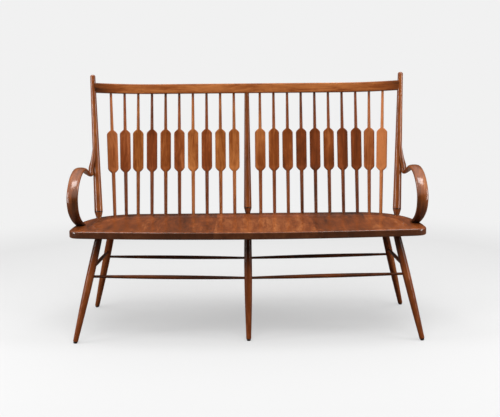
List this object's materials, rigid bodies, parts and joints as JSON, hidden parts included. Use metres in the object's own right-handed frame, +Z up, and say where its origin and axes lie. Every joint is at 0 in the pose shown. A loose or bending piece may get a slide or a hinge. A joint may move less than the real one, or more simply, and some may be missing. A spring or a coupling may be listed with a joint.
{
  "type": "spindle-back settee",
  "caption": "Walnut settee with a saddled plank seat on raked turned legs, paddle spindles under a bent crest rail, and two bent arms.",
  "frame": {"origin": "on the floor, under the middle of the whole settee", "axes": "+X to the right seen from the front, along the seat; +Y from the seat's front edge to the back; +Z up"},
  "size_m": [1.4042, 0.5702, 1.0055],
  "materials": {
    "walnut": "glossy clear lacquer over reddish-brown walnut",
    "walnut_light": "glossy clear lacquer over an orange-brown board",
    "walnut_dark": "glossy clear lacquer over a dark brown board",
    "steel": "plain steel wood screws",
    "glide": "dark nail-on glide, dull"
  },
  "bodies": {
    "root": {"front_stretcher_left": "walnut", "rear_stretcher_left": "walnut", "front_stretcher_right": "walnut", "rear_stretcher_right": "walnut", "side_stretcher_left": "walnut", "side_stretcher_centre": "walnut", "side_stretcher_right": "walnut", "front_leg_left": "walnut", "front_glide_left": "glide", "rear_leg_left": "walnut", "rear_glide_left": "glide", "front_leg_centre": "walnut", "front_glide_centre": "glide", "rear_leg_centre": "walnut", "rear_glide_centre": "glide", "front_leg_right": "walnut", "front_glide_right": "glide", "rear_leg_right": "walnut", "rear_glide_right": "glide", "spindle_left_01": "walnut_light", "spindle_left_02": "walnut_light", "spindle_left_03": "walnut_dark", "spindle_left_04": "walnut_light", "spindle_left_05": "walnut", "spindle_left_06": "walnut", "spindle_left_07": "walnut_dark", "spindle_left_08": "walnut_light", "spindle_left_09": "walnut", "spindle_left_10": "walnut", "spindle_right_01": "walnut_light", "spindle_right_02": "walnut_light", "spindle_right_03": "walnut", "spindle_right_04": "walnut_dark", "spindle_right_05": "walnut_dark", "spindle_right_06": "walnut", "spindle_right_07": "walnut_dark", "spindle_right_08": "walnut_dark", "spindle_right_09": "walnut", "spindle_right_10": "walnut_light", "centre_post": "walnut", "crest_rail": "walnut_light", "outer_post_left": "walnut", "arm_left": "walnut", "arm_dowel_left": "walnut_dark", "arm_screw_left_1": "steel", "arm_screw_left_2": "steel", "outer_post_right": "walnut", "arm_right": "walnut", "arm_dowel_right": "walnut_dark", "arm_screw_right_1": "steel", "arm_screw_right_2": "steel", "seat": "walnut"}
  },
  "joints": []
}
